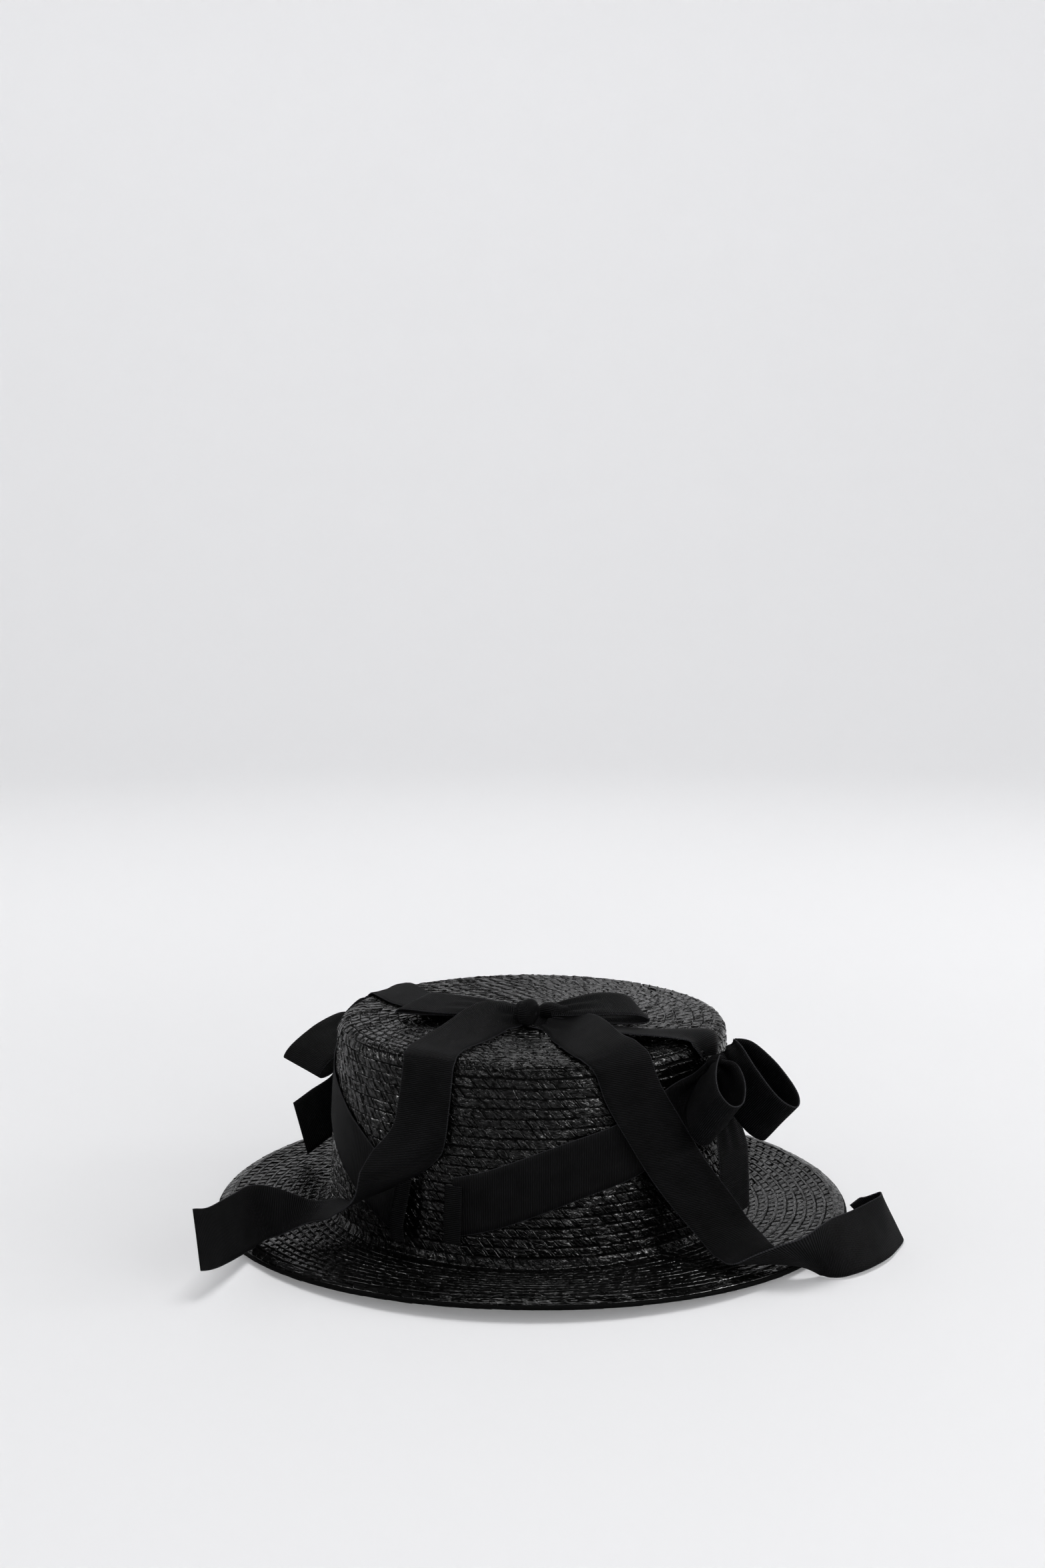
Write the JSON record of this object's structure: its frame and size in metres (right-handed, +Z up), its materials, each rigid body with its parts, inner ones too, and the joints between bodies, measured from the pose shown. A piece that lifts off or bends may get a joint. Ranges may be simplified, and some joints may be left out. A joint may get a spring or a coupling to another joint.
{
  "type": "boater hat",
  "caption": "Woman's low straw boater with a round flat brim, grosgrain bands crossing its sides and three soft ribbon bows, the top one with two long tails.",
  "frame": {"origin": "under the middle of the whole hat, ribbon tails included, on the surface it rests on", "axes": "+Z up out of the crown, -Y to the hat's front, +X to the wearer's left"},
  "size_m": [0.3144, 0.3172, 0.1022],
  "materials": {
    "straw": "glossy lacquered plaited straw",
    "ribbon": "matte ribbed grosgrain"
  },
  "bodies": {
    "root": {"crown": "straw", "brim": "straw", "crown_strap": "ribbon", "band_right": "ribbon", "band_left": "ribbon", "keeper_right": "ribbon", "keeper_left": "ribbon", "top_bow_knot": "ribbon", "top_bow_left_loop": "ribbon", "top_bow_right_loop": "ribbon", "top_bow_left_tail": "ribbon", "top_bow_right_tail": "ribbon", "right_bow_knot": "ribbon", "right_bow_front_loop": "ribbon", "right_bow_back_loop": "ribbon", "right_bow_tail": "ribbon", "left_bow_knot": "ribbon", "left_bow_front_loop": "ribbon", "left_bow_back_loop": "ribbon", "left_bow_tail": "ribbon"}
  },
  "joints": []
}
